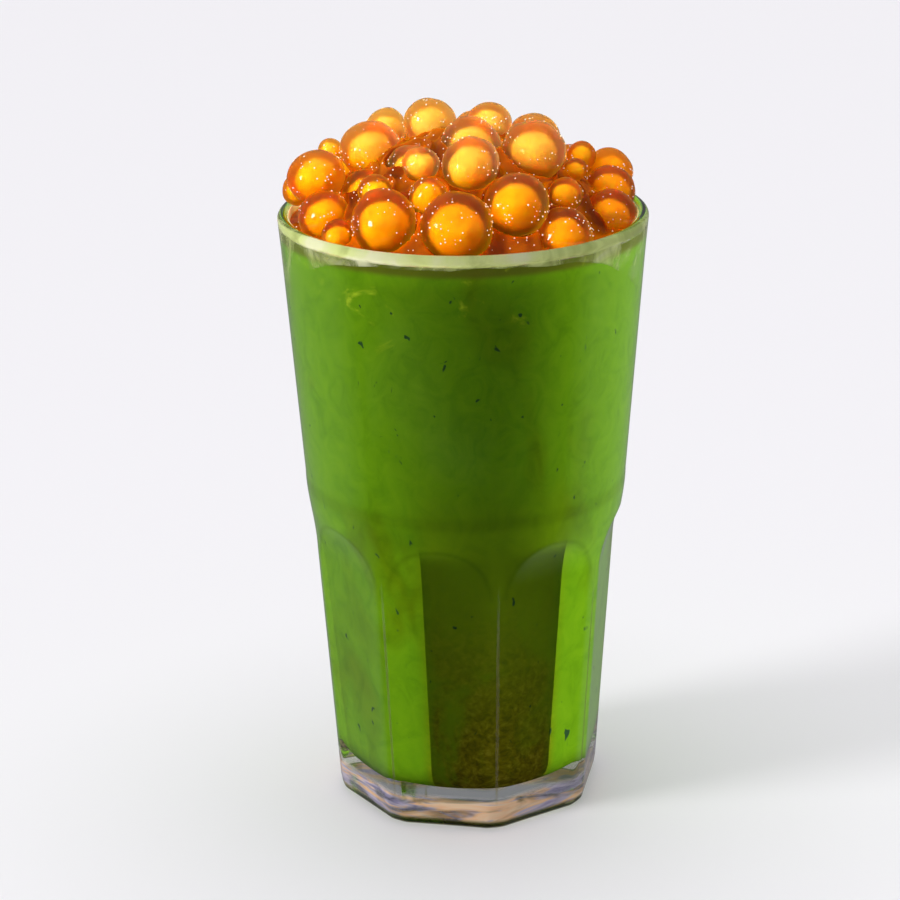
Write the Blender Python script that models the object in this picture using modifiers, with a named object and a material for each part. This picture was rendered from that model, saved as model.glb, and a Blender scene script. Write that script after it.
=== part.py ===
"""Matcha latte in a panelled tumbler, heaped over the rim with amber tapioca pearls.

World frame: metres, +Z up. The origin is the centre of the base, on the plane that the glass
stands on, and -Y is the front. Three separate solids: the glass, the drink in it, and the heap of
pearls in syrup that rests on the drink.
"""
import math
import random

import bmesh
import bpy
from mathutils import Vector

MM = 0.001
GAP = 0.3 * MM                      # clearance between neighbouring solids

# Glass, outside
HEIGHT = 148.0 * MM
RIM_RADIUS = 44.0 * MM
SHOULDER_HEIGHT = 84.0 * MM         # foot of the plain upper cone
SHOULDER_RADIUS = 39.1 * MM
BODY_HEIGHT = 65.0 * MM             # top of the panelled lower body
BODY_RADIUS = 36.95 * MM
FOOT_RADIUS = 32.45 * MM
HEEL_ROUNDING = 2.2 * MM
RECESS_RADIUS = 24.0 * MM           # shallow hollow under the base
RECESS_DEPTH = 1.2 * MM

# Glass, inside
FLOOR_HEIGHT = 8.8 * MM
CAVITY_FOOT_RADIUS = 28.0 * MM      # at the top of the fillet
CAVITY_FILLET = 7.0 * MM
CAVITY_WAIST_HEIGHT = 75.0 * MM
CAVITY_WAIST_RADIUS = 34.5 * MM
MOUTH_RADIUS = 41.4 * MM
LIP_ROUNDING = 1.25 * MM

# The eight flat panels
PANELS = 8
FIRST_PANEL_BEARING = math.radians(-10.9)   # from the front, towards +X
ARRIS_PROUD = 0.77 * MM             # by how far sharp corners would stand out of the round body
PANEL_STRAIGHT = 64.0 * MM          # the flat ends here and scoops outward into an arch
PANEL_SCOOP_RADIUS = 24.0 * MM

# Contents
DRINK_LEVEL = 145.0 * MM
PEARL_SEAT = DRINK_LEVEL + GAP
MOUND_TOP = 168.5 * MM              # height of the pearls' centres over the axis
MOUND_EDGE = 152.0 * MM             # and at the edge of the heap
MOUND_EDGE_RADIUS = 33.0 * MM
SYRUP_DEPTH = 3.0 * MM              # the syrup between the pearls lies this far under their centres
VIEW_TILT = math.radians(20.0)      # the heap is described as seen from the front, 20 degrees above
VIEW_DISTANCE = 700.0 * MM
PEARLS_TOUCH = 0.90                 # soft pearls flatten a little against each other
FILL_FRONT = -12.0 * MM             # nothing is filled in before this line: only the syrup shows there
SECOND_LAYER = 7.0 * MM
FILL_TRIES = 9000
PEARL_SEED = 12

GLASS_STEPS = 48
PEARL_SEGMENTS = 10
PEARL_RINGS = 7

# Pearls that face the front, nearest first: place to the right of and above the centre of the
# rim as seen from the front, radius, and how far it may stand proud of the mound, in millimetres.
FRONT_PEARLS = (
    (-1.5, -7.8, 8.4, 0.0),
    (-18.7, -5.9, 7.9, 0.0),
    (23.8, -9.4, 6.8, 0.0),
    (-29.6, -8.3, 3.8, 0.0),
    (-32.8, -2.6, 6.2, 0.0),
    (12.5, -2.2, 7.8, 0.0),
    (34.8, -3.0, 6.4, 0.0),
    (24.2, 1.1, 4.2, 0.0),
    (-8.2, 0.2, 4.7, 0.0),
    (-20.6, 2.2, 4.4, 0.0),
    (1.9, 8.0, 6.7, 0.0),
    (-9.9, 8.4, 4.3, 0.0),
    (-34.6, 7.3, 6.9, 7.0),
    (16.8, 12.0, 7.6, 0.0),
    (-21.6, 13.9, 7.6, 0.0),
    (2.2, 13.9, 7.3, 0.0),
    (26.7, 8.3, 3.0, 0.0),
    (35.0, 4.2, 6.4, 4.0),
    (-7.5, 20.9, 6.4, 0.0),
    (6.2, 19.6, 5.6, 0.0),
    (28.1, 12.7, 3.6, 2.0),
    (36.0, 10.0, 5.6, 6.0),
    (16.8, 17.1, 6.6, 0.0),
    (-18.1, 20.0, 5.2, 2.0),
    (-31.3, 14.6, 3.2, 5.0),
    (-39.5, 5.5, 4.0, 7.0),
)


def mound_height(radius):
    """Height of the surface that the pearls' centres lie on."""
    return MOUND_TOP - (MOUND_TOP - MOUND_EDGE) * (radius / MOUND_EDGE_RADIUS) ** 2


def mouth_radius(height):
    """Radius of the glass's cavity above its waist."""
    part = (height - CAVITY_WAIST_HEIGHT) / (HEIGHT - CAVITY_WAIST_HEIGHT)
    return CAVITY_WAIST_RADIUS + part * (MOUTH_RADIUS - CAVITY_WAIST_RADIUS)


def widest_seat(z, radius):
    """How far from the axis a pearl's centre may lie and still clear the lip of the glass."""
    reach = radius if z < HEIGHT else math.sqrt(max(radius ** 2 - (z - HEIGHT) ** 2, 0.0))
    return min(MOUTH_RADIUS - GAP - 0.9 * reach, RIM_RADIUS - GAP - radius)


def kept_inside(x, y, z, radius):
    """Move a pearl towards the axis until it clears the lip."""
    limit = widest_seat(z, radius)
    far = math.hypot(x, y)
    if far > limit:
        x, y = x * limit / far, y * limit / far
    return Vector((x, y, z))


def seen_at(across, up, depth):
    """The point that shows at (across, up) and lies depth behind the axis along the view."""
    zoom = 1.0 + depth / VIEW_DISTANCE
    y = up * zoom * math.sin(VIEW_TILT) + depth * math.cos(VIEW_TILT)
    z = HEIGHT + up * zoom * math.cos(VIEW_TILT) - depth * math.sin(VIEW_TILT)
    return across * zoom, y, z


def clearance(placed, centre, radius):
    """Distance to the nearest pearl, as a part of the distance at which the two would touch."""
    return min([(centre - other).length / (radius + r) for other, r in placed], default=9.0)


def seated_pearls():
    """Centres and radii of all the pearls that show, in metres."""
    placed = []
    for across, up, radius, proud in FRONT_PEARLS:
        radius *= MM
        spots = []
        for step in range(200):
            x, y, z = seen_at(across * MM, up * MM, (-50.0 + 0.5 * step) * MM)
            far = math.hypot(x, y)
            # how far it lies over the mound, or out over the lip
            stray = max(z - proud * MM - mound_height(far), far - widest_seat(z, radius), 0.0)
            centre = kept_inside(x, y, z, radius)
            room = min(clearance(placed, centre, radius), PEARLS_TOUCH)
            spots.append((stray - 0.05 * room, step, centre))
        best = min(spots, key=lambda spot: spot[:2])[2]
        placed.append((best, radius))

    rng = random.Random(PEARL_SEED)
    for attempt in range(FILL_TRIES):
        # the large ones find their places first, and smaller ones fill in between
        radius = (7.6 - 4.4 * (attempt / FILL_TRIES) ** 0.6) * MM
        bearing = rng.uniform(0.0, 2 * math.pi)
        far = math.sqrt(rng.uniform(0.0, 1.0)) * 39.0 * MM
        x, y = far * math.cos(bearing), far * math.sin(bearing)
        if y < FILL_FRONT:
            continue
        # at the front they lie a layer lower, behind the ones that show there; at the back they
        # stay under the outline that the front ones make
        layer = 0.0 if y > 4 * MM else SECOND_LAYER
        outline = 24.5 * MM - 10.5 * x ** 2
        z = (outline - radius - y * math.sin(VIEW_TILT)) / math.cos(VIEW_TILT) + HEIGHT
        z = min(z, mound_height(far) - layer)
        if z < HEIGHT - 4 * MM:
            continue
        centre = kept_inside(x, y, max(z, HEIGHT - 0.5 * MM), radius)
        if clearance(placed, centre, radius) > PEARLS_TOUCH:
            placed.append((centre, radius))
    return placed


def arc(centre_r, centre_z, radius, start, end, steps):
    """Points of an arc in the section plane, angles in degrees from +R towards +Z."""
    points = []
    for i in range(steps + 1):
        angle = math.radians(start + (end - start) * i / steps)
        points.append((centre_r + radius * math.cos(angle), centre_z + radius * math.sin(angle)))
    return points


def outer_profile():
    """Outside of the glass from the lip down to the middle of the recess."""
    lip_slope = math.degrees(math.atan2(RIM_RADIUS - SHOULDER_RADIUS, HEIGHT - SHOULDER_HEIGHT))
    points = arc(RIM_RADIUS - LIP_ROUNDING, HEIGHT - LIP_ROUNDING, LIP_ROUNDING, 90, -lip_slope, 5)
    points.append((SHOULDER_RADIUS, SHOULDER_HEIGHT))
    # the shoulder: a smooth step from the cone to the slimmer panelled body
    for i in range(1, 6):
        t = i / 6
        ease = t * t * (3 - 2 * t)
        radius = SHOULDER_RADIUS + (BODY_RADIUS - SHOULDER_RADIUS) * ease
        points.append((radius, SHOULDER_HEIGHT + (BODY_HEIGHT - SHOULDER_HEIGHT) * t))
    points.append((BODY_RADIUS, BODY_HEIGHT))
    points += arc(FOOT_RADIUS - HEEL_ROUNDING, HEEL_ROUNDING, HEEL_ROUNDING, 0, -90, 5)
    points.append((RECESS_RADIUS + RECESS_DEPTH, 0.0))
    points.append((RECESS_RADIUS, 0.6 * RECESS_DEPTH))
    points.append((RECESS_RADIUS - 3 * MM, RECESS_DEPTH))
    points.append((0.0, RECESS_DEPTH))
    return points


def cavity_profile(shrink):
    """Wall of the cavity from the mouth down to the floor, drawn in by shrink."""
    mouth = CAVITY_WAIST_RADIUS, CAVITY_WAIST_HEIGHT
    foot = CAVITY_FOOT_RADIUS, FLOOR_HEIGHT + CAVITY_FILLET
    points = [(mouth[0] - shrink, mouth[1])]
    fillet = CAVITY_FILLET - shrink
    points += arc(foot[0] - CAVITY_FILLET, foot[1], fillet, 4, -90, 6)
    points.append((0.0, FLOOR_HEIGHT + shrink))
    return points


def section_object(name, points, steps, collection):
    """Turned solid: the section as a chain of edges with a Screw modifier round Z."""
    mesh = bpy.data.meshes.new(name)
    bm = bmesh.new()
    verts = [bm.verts.new((r, 0.0, z)) for r, z in points]
    for a, b in zip(verts, verts[1:]):
        bm.edges.new((a, b))
    bm.to_mesh(mesh)
    bm.free()
    obj = bpy.data.objects.new(name, mesh)
    collection.objects.link(obj)
    screw = obj.modifiers.new("Turned", "SCREW")
    screw.axis = "Z"
    screw.angle = 2 * math.pi
    screw.steps = steps
    screw.render_steps = steps
    screw.use_merge_vertices = True
    screw.merge_threshold = 0.00001
    screw.use_smooth_shade = True
    return obj


def panel_cutter(index, collection):
    """Slab that cuts one flat panel: a tilted face that scoops outward at its top."""
    def face(z):
        body = FOOT_RADIUS + (BODY_RADIUS - FOOT_RADIUS) * z / BODY_HEIGHT
        return (body + ARRIS_PROUD) * math.cos(math.pi / PANELS)

    lean = (face(PANEL_STRAIGHT) - face(0.0)) / PANEL_STRAIGHT
    outline = [(face(-4 * MM), -4 * MM), (face(PANEL_STRAIGHT), PANEL_STRAIGHT)]
    for i in range(1, 9):
        rise = 16.0 * MM * i / 8
        out = PANEL_SCOOP_RADIUS - math.sqrt(PANEL_SCOOP_RADIUS ** 2 - rise ** 2)
        outline.append((face(PANEL_STRAIGHT) + lean * rise + out, PANEL_STRAIGHT + rise))
    outline.append((60 * MM, PANEL_STRAIGHT + 16.0 * MM))
    outline.append((60 * MM, -4 * MM))

    name = "Panel cutter %d" % (index + 1)
    mesh = bpy.data.meshes.new(name)
    bm = bmesh.new()
    half = 24.0 * MM
    verts = [bm.verts.new((r, -half, z)) for r, z in outline]
    slab = bm.faces.new(verts)
    grown = bmesh.ops.extrude_face_region(bm, geom=[slab])
    moved = [item for item in grown["geom"] if isinstance(item, bmesh.types.BMVert)]
    bmesh.ops.translate(bm, verts=moved, vec=(0.0, 2 * half, 0.0))
    bmesh.ops.recalc_face_normals(bm, faces=bm.faces)
    bm.to_mesh(mesh)
    bm.free()
    obj = bpy.data.objects.new(name, mesh)
    collection.objects.link(obj)
    bearing = FIRST_PANEL_BEARING + index * 2 * math.pi / PANELS
    obj.rotation_euler = (0.0, 0.0, bearing - math.pi / 2)
    hide_tool(obj)
    return obj


def hide_tool(obj):
    obj.hide_render = True
    obj.display_type = "WIRE"


def material(name, colour, roughness, transmission):
    mat = bpy.data.materials.new(name)
    mat.use_nodes = True
    shader = mat.node_tree.nodes["Principled BSDF"]
    shader.inputs["Base Color"].default_value = (*colour, 1.0)
    shader.inputs["Roughness"].default_value = roughness
    shader.inputs["Metallic"].default_value = 0.0
    shader.inputs["Transmission Weight"].default_value = transmission
    mat.diffuse_color = (*colour, 1.0)
    return mat


def settle(obj):
    """Turn the evaluated shape into the object's own mesh."""
    depsgraph = bpy.context.evaluated_depsgraph_get()
    depsgraph.update()
    settled = bpy.data.meshes.new_from_object(obj.evaluated_get(depsgraph))
    obj.modifiers.clear()
    obj.data = settled


def drop_scraps(obj):
    """Keep the one outer skin: scraps go, and sealed hollows are filled by losing their walls."""
    bm = bmesh.new()
    bm.from_mesh(obj.data)
    bmesh.ops.remove_doubles(bm, verts=bm.verts, dist=0.00001)
    left = set(bm.faces)
    islands = []
    while left:
        island, edge = set(), [left.pop()]
        while edge:
            face = edge.pop()
            island.add(face)
            for side in face.edges:
                for other in side.link_faces:
                    if other in left:
                        left.remove(other)
                        edge.append(other)
        islands.append(island)
    islands.sort(key=len, reverse=True)
    for island in islands[1:]:
        bmesh.ops.delete(bm, geom=list(island), context="FACES")
    loose = [vert for vert in bm.verts if not vert.link_faces]
    bmesh.ops.delete(bm, geom=loose, context="VERTS")
    bmesh.ops.triangulate(bm, faces=bm.faces)
    bm.to_mesh(obj.data)
    bm.free()
    return len(islands) - 1


# --- scene ---------------------------------------------------------------------------------

for old in list(bpy.data.objects):
    bpy.data.objects.remove(old, do_unlink=True)

parts = bpy.data.collections.new("Matcha latte")
cutters = bpy.data.collections.new("Cutters")
loose_pearls = bpy.data.collections.new("Loose pearls")
for group in (parts, cutters, loose_pearls):
    bpy.context.scene.collection.children.link(group)

# Glass: turned wall and base, then the eight panels cut off it
mouth_slope = math.degrees(math.atan2(MOUTH_RADIUS - CAVITY_WAIST_RADIUS,
                                      HEIGHT - CAVITY_WAIST_HEIGHT))
inner_lip = arc(MOUTH_RADIUS + LIP_ROUNDING, HEIGHT - LIP_ROUNDING, LIP_ROUNDING,
                180 - mouth_slope, 95, 4)
glass_section = cavity_profile(0.0)[::-1] + inner_lip + outer_profile()
glass = section_object("glass", glass_section, GLASS_STEPS, parts)
for i in range(PANELS):
    panel_cutter(i, cutters)
panelled = glass.modifiers.new("Panels", "BOOLEAN")
panelled.operation = "DIFFERENCE"
panelled.operand_type = "COLLECTION"
panelled.collection = cutters
panelled.solver = "EXACT"
glass.data.materials.append(material("Clear glass", (0.92, 0.96, 0.94), 0.03, 1.0))

# Drink: fills the cavity up to its level
drink_section = [(0.0, DRINK_LEVEL), (mouth_radius(DRINK_LEVEL) - GAP, DRINK_LEVEL)]
drink_section += cavity_profile(GAP)
drink = section_object("drink", drink_section, GLASS_STEPS, parts)
drink.data.materials.append(material("Matcha and milk", (0.20, 0.33, 0.03), 0.35, 0.0))

# Heap: a syrup core under the pearls' centres, with the pearls that show fused on
core_section = [(0.0, mound_height(0.0) - SYRUP_DEPTH)]
for i in range(1, 8):
    r = 35.0 * MM * i / 7
    core_section.append((r, mound_height(r) - SYRUP_DEPTH))
core_section.append((mouth_radius(PEARL_SEAT) - 1.5 * GAP, PEARL_SEAT + 1.5 * MM))
core_section.append((mouth_radius(PEARL_SEAT) - 1.5 * GAP, PEARL_SEAT))
core_section.append((0.0, PEARL_SEAT))
pearls = section_object("pearls", core_section, 48, parts)

for i, (centre, radius) in enumerate(seated_pearls()):
    bpy.ops.mesh.primitive_uv_sphere_add(segments=PEARL_SEGMENTS, ring_count=PEARL_RINGS,
                                         radius=radius, location=centre)
    ball = bpy.context.object
    ball.name = "Loose pearl %d" % (i + 1)
    ball.rotation_euler = (0.7 * i, 1.1 * i, 0.4 * i)
    for owner in list(ball.users_collection):
        owner.objects.unlink(ball)
    loose_pearls.objects.link(ball)
    hide_tool(ball)

# the room above the drink: inside the mouth, over the lip and within the rim's width
room_section = [
    (0.0, HEIGHT + 40 * MM),
    (RIM_RADIUS - GAP, HEIGHT + 40 * MM),
    (RIM_RADIUS - GAP, HEIGHT + 0.4 * MM),
    (MOUTH_RADIUS - GAP, HEIGHT + 0.4 * MM),
    (MOUTH_RADIUS - GAP, HEIGHT - LIP_ROUNDING),
    (mouth_radius(PEARL_SEAT) - GAP, PEARL_SEAT),
    (0.0, PEARL_SEAT),
]
room = section_object("Room above the drink", room_section, GLASS_STEPS, cutters)
cutters.objects.unlink(room)
bpy.context.scene.collection.objects.link(room)
hide_tool(room)

joined = pearls.modifiers.new("Pearls joined", "BOOLEAN")
joined.operation = "UNION"
joined.operand_type = "COLLECTION"
joined.collection = loose_pearls
joined.solver = "EXACT"
trimmed = pearls.modifiers.new("Kept inside the mouth", "BOOLEAN")
trimmed.operation = "INTERSECT"
trimmed.object = room
trimmed.solver = "EXACT"
settle(pearls)
drop_scraps(pearls)
for ball in list(loose_pearls.objects):
    bpy.data.objects.remove(ball, do_unlink=True)
bpy.data.collections.remove(loose_pearls)
bpy.data.objects.remove(room, do_unlink=True)
pearls.data.materials.clear()
pearls.data.materials.append(material("Amber pearls", (0.62, 0.22, 0.02), 0.15, 0.0))

for obj in parts.objects:
    obj.data.shade_smooth()
    obj.data.set_sharp_from_angle(angle=math.radians(30.0))
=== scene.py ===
# %% [markdown]
# # A matcha latte under a heap of amber tapioca pearls
#
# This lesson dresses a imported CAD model: a panelled tumbler, the green drink in it, and the heap
# of pearls that stands over its rim. The CAD solids carry the sizes and stay for collision. Each
# could keep its faceted mesh and get a finish, but clear glass and wet pearls show every facet.
# So each is replaced by a finer piece of the same sizes.

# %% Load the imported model
import math
import random

import bmesh
import bpy
import numpy as np
from mathutils import Euler, Matrix, Vector


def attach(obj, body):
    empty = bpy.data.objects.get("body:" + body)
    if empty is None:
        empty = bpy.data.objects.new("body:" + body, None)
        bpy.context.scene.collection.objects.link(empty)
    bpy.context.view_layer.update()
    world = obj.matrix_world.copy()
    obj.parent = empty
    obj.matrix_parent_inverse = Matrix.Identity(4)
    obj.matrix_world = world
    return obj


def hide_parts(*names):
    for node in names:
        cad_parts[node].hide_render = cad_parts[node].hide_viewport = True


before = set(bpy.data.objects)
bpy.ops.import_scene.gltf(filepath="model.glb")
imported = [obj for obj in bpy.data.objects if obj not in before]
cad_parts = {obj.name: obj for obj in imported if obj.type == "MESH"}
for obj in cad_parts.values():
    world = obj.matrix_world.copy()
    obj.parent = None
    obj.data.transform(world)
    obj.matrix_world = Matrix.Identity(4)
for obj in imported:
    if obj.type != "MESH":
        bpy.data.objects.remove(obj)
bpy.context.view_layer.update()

# %% [markdown]
# ## Sizes
#
# The real glass holds about half a litre. These are the sizes that the CAD model was made from.
# They could be measured on its meshes, but a fillet or the bearing of a panel is easier to name
# than to find, and the finishes below begin and end at the same heights.

# %% Sizes of the tumbler
MM = 0.001
HEIGHT = 148.0 * MM
RIM_RADIUS = 44.0 * MM
SHOULDER_HEIGHT = 84.0 * MM
SHOULDER_RADIUS = 39.1 * MM
BODY_HEIGHT = 65.0 * MM
BODY_RADIUS = 36.95 * MM
FOOT_RADIUS = 32.45 * MM
HEEL_ROUNDING = 2.2 * MM
RECESS_RADIUS = 24.0 * MM
RECESS_DEPTH = 1.2 * MM
FLOOR_HEIGHT = 8.8 * MM
CAVITY_FOOT_RADIUS = 28.0 * MM
CAVITY_FILLET = 7.0 * MM
CAVITY_WAIST_HEIGHT = 75.0 * MM
CAVITY_WAIST_RADIUS = 34.5 * MM
MOUTH_RADIUS = 41.4 * MM
LIP_ROUNDING = 1.25 * MM

# %% Sizes of the panels and of the contents
PANELS = 8
FIRST_PANEL_BEARING = math.radians(-10.9)
ARRIS_PROUD = 0.77 * MM
PANEL_STRAIGHT = 64.0 * MM
PANEL_SCOOP_RADIUS = 24.0 * MM
DRINK_LEVEL = 145.0 * MM
INTO_WALL = 0.06 * MM

# %% [markdown]
# ## Camera
#
# The picture fits a long lens, 70 cm away and 20 degrees above, leaning by half a degree. A camera
# could be aimed at the glass by a constraint, but then its lean would be hard to set. So its turn
# is worked out from the two angles, and a small shift of the lens puts the glass where it stands
# in the frame.

# %% Place the camera
VIEW_TILT = math.radians(20.0)
VIEW_DISTANCE = 700.0 * MM
AIM_HEIGHT = 76.0 * MM
SIDE_LEAN = math.radians(-0.61)

lens = bpy.data.cameras.new("View")
lens.lens = 114.0
lens.sensor_width = 36.0
lens.shift_x = -0.0178
lens.shift_y = 0.0489
lens.clip_start = 0.01
lens.clip_end = 50.0
camera = bpy.data.objects.new("View", lens)
bpy.context.scene.collection.objects.link(camera)
camera.location = (0.0, -VIEW_DISTANCE * math.cos(VIEW_TILT),
                   AIM_HEIGHT + VIEW_DISTANCE * math.sin(VIEW_TILT))
turned = Euler((math.pi / 2 - VIEW_TILT, 0.0, 0.0)).to_matrix()
camera.rotation_euler = (turned @ Matrix.Rotation(SIDE_LEAN, 3, "Z")).to_euler()
bpy.context.scene.camera = camera
print("camera at", [round(v, 3) for v in camera.location])

# %% [markdown]
# ## Node helpers
#
# Sky, finishes and shapes are all made of nodes here. They could be added and joined one by one,
# but three short helpers make a tree read like a sum: plug sets or joins one input, add makes a
# node with its options and inputs, and reckon is a Math node.

# %% Node helpers
def plug(tree, socket, value):
    """Join the value to the socket if it is one itself, and set it otherwise."""
    if isinstance(value, bpy.types.NodeSocket):
        tree.links.new(value, socket)
    else:
        socket.default_value = value


def add(tree, kind, values=(), **options):
    """Add a node, set its options, plug its inputs by name or in order, and give it back."""
    node = tree.nodes.new(kind)
    for key, option in options.items():
        setattr(node, key, option)
    pairs = values.items() if isinstance(values, dict) else enumerate(values)
    for key, value in pairs:
        plug(tree, node.inputs[key], value)
    return node


def reckon(tree, operation, *values):
    """Result of a Math node."""
    return add(tree, "ShaderNodeMath", values, operation=operation).outputs[0]


# %% [markdown]
# ## Studio
#
# Glass shows the room it stands in, so the room is plain: a pale floor and a dim, even sky, which
# is darker low in front so that the foot of the glass has dark lines. A picture of a real room
# could light it too, but plain lights can each be kept to one piece. A soft key comes from the
# left and a broad light from above. Two boxes brighten only the flanks of the drink, and a window
# and a small box light only the heap.

# %% Floor
def link(obj):
    bpy.context.scene.collection.objects.link(obj)
    return obj


def plain_material(name, colour, roughness):
    mat = bpy.data.materials.new(name)
    mat.use_nodes = True
    shader = mat.node_tree.nodes["Principled BSDF"]
    shader.inputs["Base Color"].default_value = (*colour, 1.0)
    shader.inputs["Roughness"].default_value = roughness
    return mat


floor_mesh = bpy.data.meshes.new("Studio_floor")
floor_mesh.from_pydata([(-40, -40, 0), (40, -40, 0), (40, 40, 0), (-40, 40, 0)], [], [(0, 1, 2, 3)])
floor = link(bpy.data.objects.new("Studio_floor", floor_mesh))
floor_mesh.materials.append(plain_material("Pale floor", (0.86, 0.845, 0.87), 0.6))
floor.visible_glossy = False

# %% Sky
SKY, LOW_IN_FRONT = (0.22, 0.22, 0.235, 1.0), (0.02, 0.02, 0.02, 1.0)
sky = bpy.data.worlds.new("Pale studio")
sky.use_nodes = True
air = sky.node_tree
towards = add(air, "ShaderNodeSeparateXYZ",
              [add(air, "ShaderNodeTexCoord").outputs["Generated"]]).outputs
above = add(air, "ShaderNodeMapRange",
            {"Value": towards["Z"], "From Min": -0.02, "From Max": 0.15}).outputs["Result"]
behind = add(air, "ShaderNodeMapRange",
             {"Value": towards["Y"], "From Min": -0.25, "From Max": 0.05}).outputs["Result"]
shade = add(air, "ShaderNodeMix", {"Factor": reckon(air, "MAXIMUM", above, behind),
                                   6: LOW_IN_FRONT, 7: SKY}, data_type="RGBA")
plug(air, air.nodes["Background"].inputs["Color"], shade.outputs[2])
bpy.context.scene.world = sky
bpy.context.scene.view_settings.view_transform = "Standard"


# %% Soft boxes
def soft_box(name, place, aim, width, height, power):
    """Area light that faces a point and doesn't mirror in the glass."""
    data = bpy.data.lights.new(name, "AREA")
    data.shape = "RECTANGLE"
    data.size = width
    data.size_y = height
    data.energy = power
    obj = link(bpy.data.objects.new(name, data))
    obj.location = place
    obj.rotation_euler = (Vector(aim) - Vector(place)).to_track_quat("-Z", "Y").to_euler()
    obj.visible_glossy = False
    return obj


def far_light(name, towards, softness, strength):
    """Even light from one direction, as from a large box far away."""
    data = bpy.data.lights.new(name, "SUN")
    data.angle = math.radians(softness)
    data.energy = strength
    obj = link(bpy.data.objects.new(name, data))
    obj.rotation_euler = Vector(towards).to_track_quat("-Z", "Y").to_euler()
    obj.visible_glossy = False
    return obj


MIDDLE, HEAP, RIM_CENTRE = (0, 0, 0.09), (0, 0, 0.16), (0, 0, 0.15)
far_light("Key from the left", towards=(1.0, 0.36, -0.62), softness=16, strength=1.30)
far_light("Top light", towards=(0.0, -0.15, -1.0), softness=70, strength=2.2)
left_edge = soft_box("Left edge", (-0.60, 0.06, 0.20), MIDDLE, width=0.25, height=0.35, power=3.4)
right_edge = soft_box("Right edge", (0.60, 0.14, 0.20), MIDDLE, width=0.25, height=0.35, power=7.4)
for_pearls = soft_box("Light on the pearls", (0.10, -0.30, 0.95), HEAP,
                      width=0.35, height=0.35, power=1.2)
window = soft_box("Window", (-0.80, -0.58, 0.30), RIM_CENTRE, width=0.18, height=0.26, power=6.5)
window.visible_glossy = True

# %% [markdown]
# ## Geometry Nodes in a few words
#
# The pieces that follow a rule are made by geometry trees. A loop in Python could build the same
# meshes, but a tree keeps its sizes as named inputs, so that one tree makes glass, drink and
# film. A modifier is told its inputs by their identifiers, and what comes out is turned into a
# plain mesh, because the export drops live instances.


# %% A tree with named inputs
def new_tree(name, inputs):
    """Geometry tree with a mesh in, a mesh out and the named inputs."""
    tree = bpy.data.node_groups.new(name, "GeometryNodeTree")
    tree.interface.new_socket("Geometry", in_out="INPUT", socket_type="NodeSocketGeometry")
    for label, kind in inputs:
        tree.interface.new_socket(label, in_out="INPUT", socket_type="NodeSocket" + kind)
    tree.interface.new_socket("Geometry", in_out="OUTPUT", socket_type="NodeSocketGeometry")
    given = tree.nodes.new("NodeGroupInput").outputs
    return tree, given, tree.nodes.new("NodeGroupOutput").inputs[0]


# %% From a tree to a plain mesh
def made_by(tree, start, name, values):
    """Run the tree on a starting mesh and give back a plain object with the result."""
    carrier = link(bpy.data.objects.new(name + "_start", start))
    modifier = carrier.modifiers.new(tree.name, "NODES")
    modifier.node_group = tree
    for item in tree.interface.items_tree:
        if item.item_type == "SOCKET" and item.in_out == "INPUT" and item.name in values:
            modifier[item.identifier] = values[item.name]
    carrier.update_tag()
    depsgraph = bpy.context.evaluated_depsgraph_get()
    depsgraph.update()
    mesh = bpy.data.meshes.new_from_object(carrier.evaluated_get(depsgraph))
    mesh.name = name
    bpy.data.objects.remove(carrier, do_unlink=True)
    obj = link(bpy.data.objects.new(name, mesh))
    print(name, "faces:", len(mesh.polygons))
    return obj


MERGE_DISTANCE = 0.002 * MM


def facing_out(obj):
    """Merge doubles and turn every face of a closed shape outward."""
    bm = bmesh.new()
    bm.from_mesh(obj.data)
    bmesh.ops.remove_doubles(bm, verts=bm.verts, dist=MERGE_DISTANCE)
    bmesh.ops.recalc_face_normals(bm, faces=bm.faces)
    bm.to_mesh(obj.data)
    bm.free()
    obj.data.shade_smooth()
    return obj


# %% [markdown]
# ## The tumbler
#
# A pressed glass has the same section all the way round, and eight flat panels are cut off its
# lower half. Each panel scoops outward at its top and so ends in an arch. Spinning an outline and
# cutting the panels by Booleans would leave hard, ragged arches. Here a chain of points gives the
# section, the tree lays a grid round the axis and reads the section for each row, and a smooth
# minimum draws the outer wall in to the panels and rounds the arrises between them.

# %% The tree that turns a section
turning, given, out = new_tree("Turned glass", [
    ("Steps round", "Int"), ("Panels", "Int"), ("First panel bearing", "Float"),
    ("Foot face", "Float"), ("Face lean", "Float"), ("Straight height", "Float"),
    ("Scoop radius", "Float"), ("Arris rounding", "Float"), ("Finish", "Material")])
rows = add(turning, "GeometryNodeAttributeDomainSize", [given["Geometry"]]).outputs["Point Count"]
columns = reckon(turning, "ADD", given["Steps round"], 1)
grid = add(turning, "GeometryNodeMeshGrid",
           {"Size X": 1.0, "Size Y": 1.0, "Vertices X": rows, "Vertices Y": columns})
place = add(turning, "ShaderNodeSeparateXYZ",
            [add(turning, "GeometryNodeInputPosition").outputs[0]]).outputs
row = reckon(turning, "ROUND", reckon(turning, "MULTIPLY", reckon(turning, "ADD", place["X"], 0.5),
                                      reckon(turning, "SUBTRACT", rows, 1)))
bearing = reckon(turning, "MULTIPLY", reckon(turning, "ADD", place["Y"], 0.5), 2 * math.pi)


def section_value(kind, value):
    """Read the section's own point for this row of the grid."""
    sample = add(turning, "GeometryNodeSampleIndex", data_type=kind, domain="POINT")
    turning.links.new(given["Geometry"], sample.inputs["Geometry"])
    turning.links.new(value, sample.inputs["Value"])
    turning.links.new(row, sample.inputs["Index"])
    return sample.outputs["Value"]


def section_field(name):
    node = add(turning, "GeometryNodeInputNamedAttribute", {"Name": name}, data_type="FLOAT")
    return section_value("FLOAT", node.outputs["Attribute"])


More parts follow.
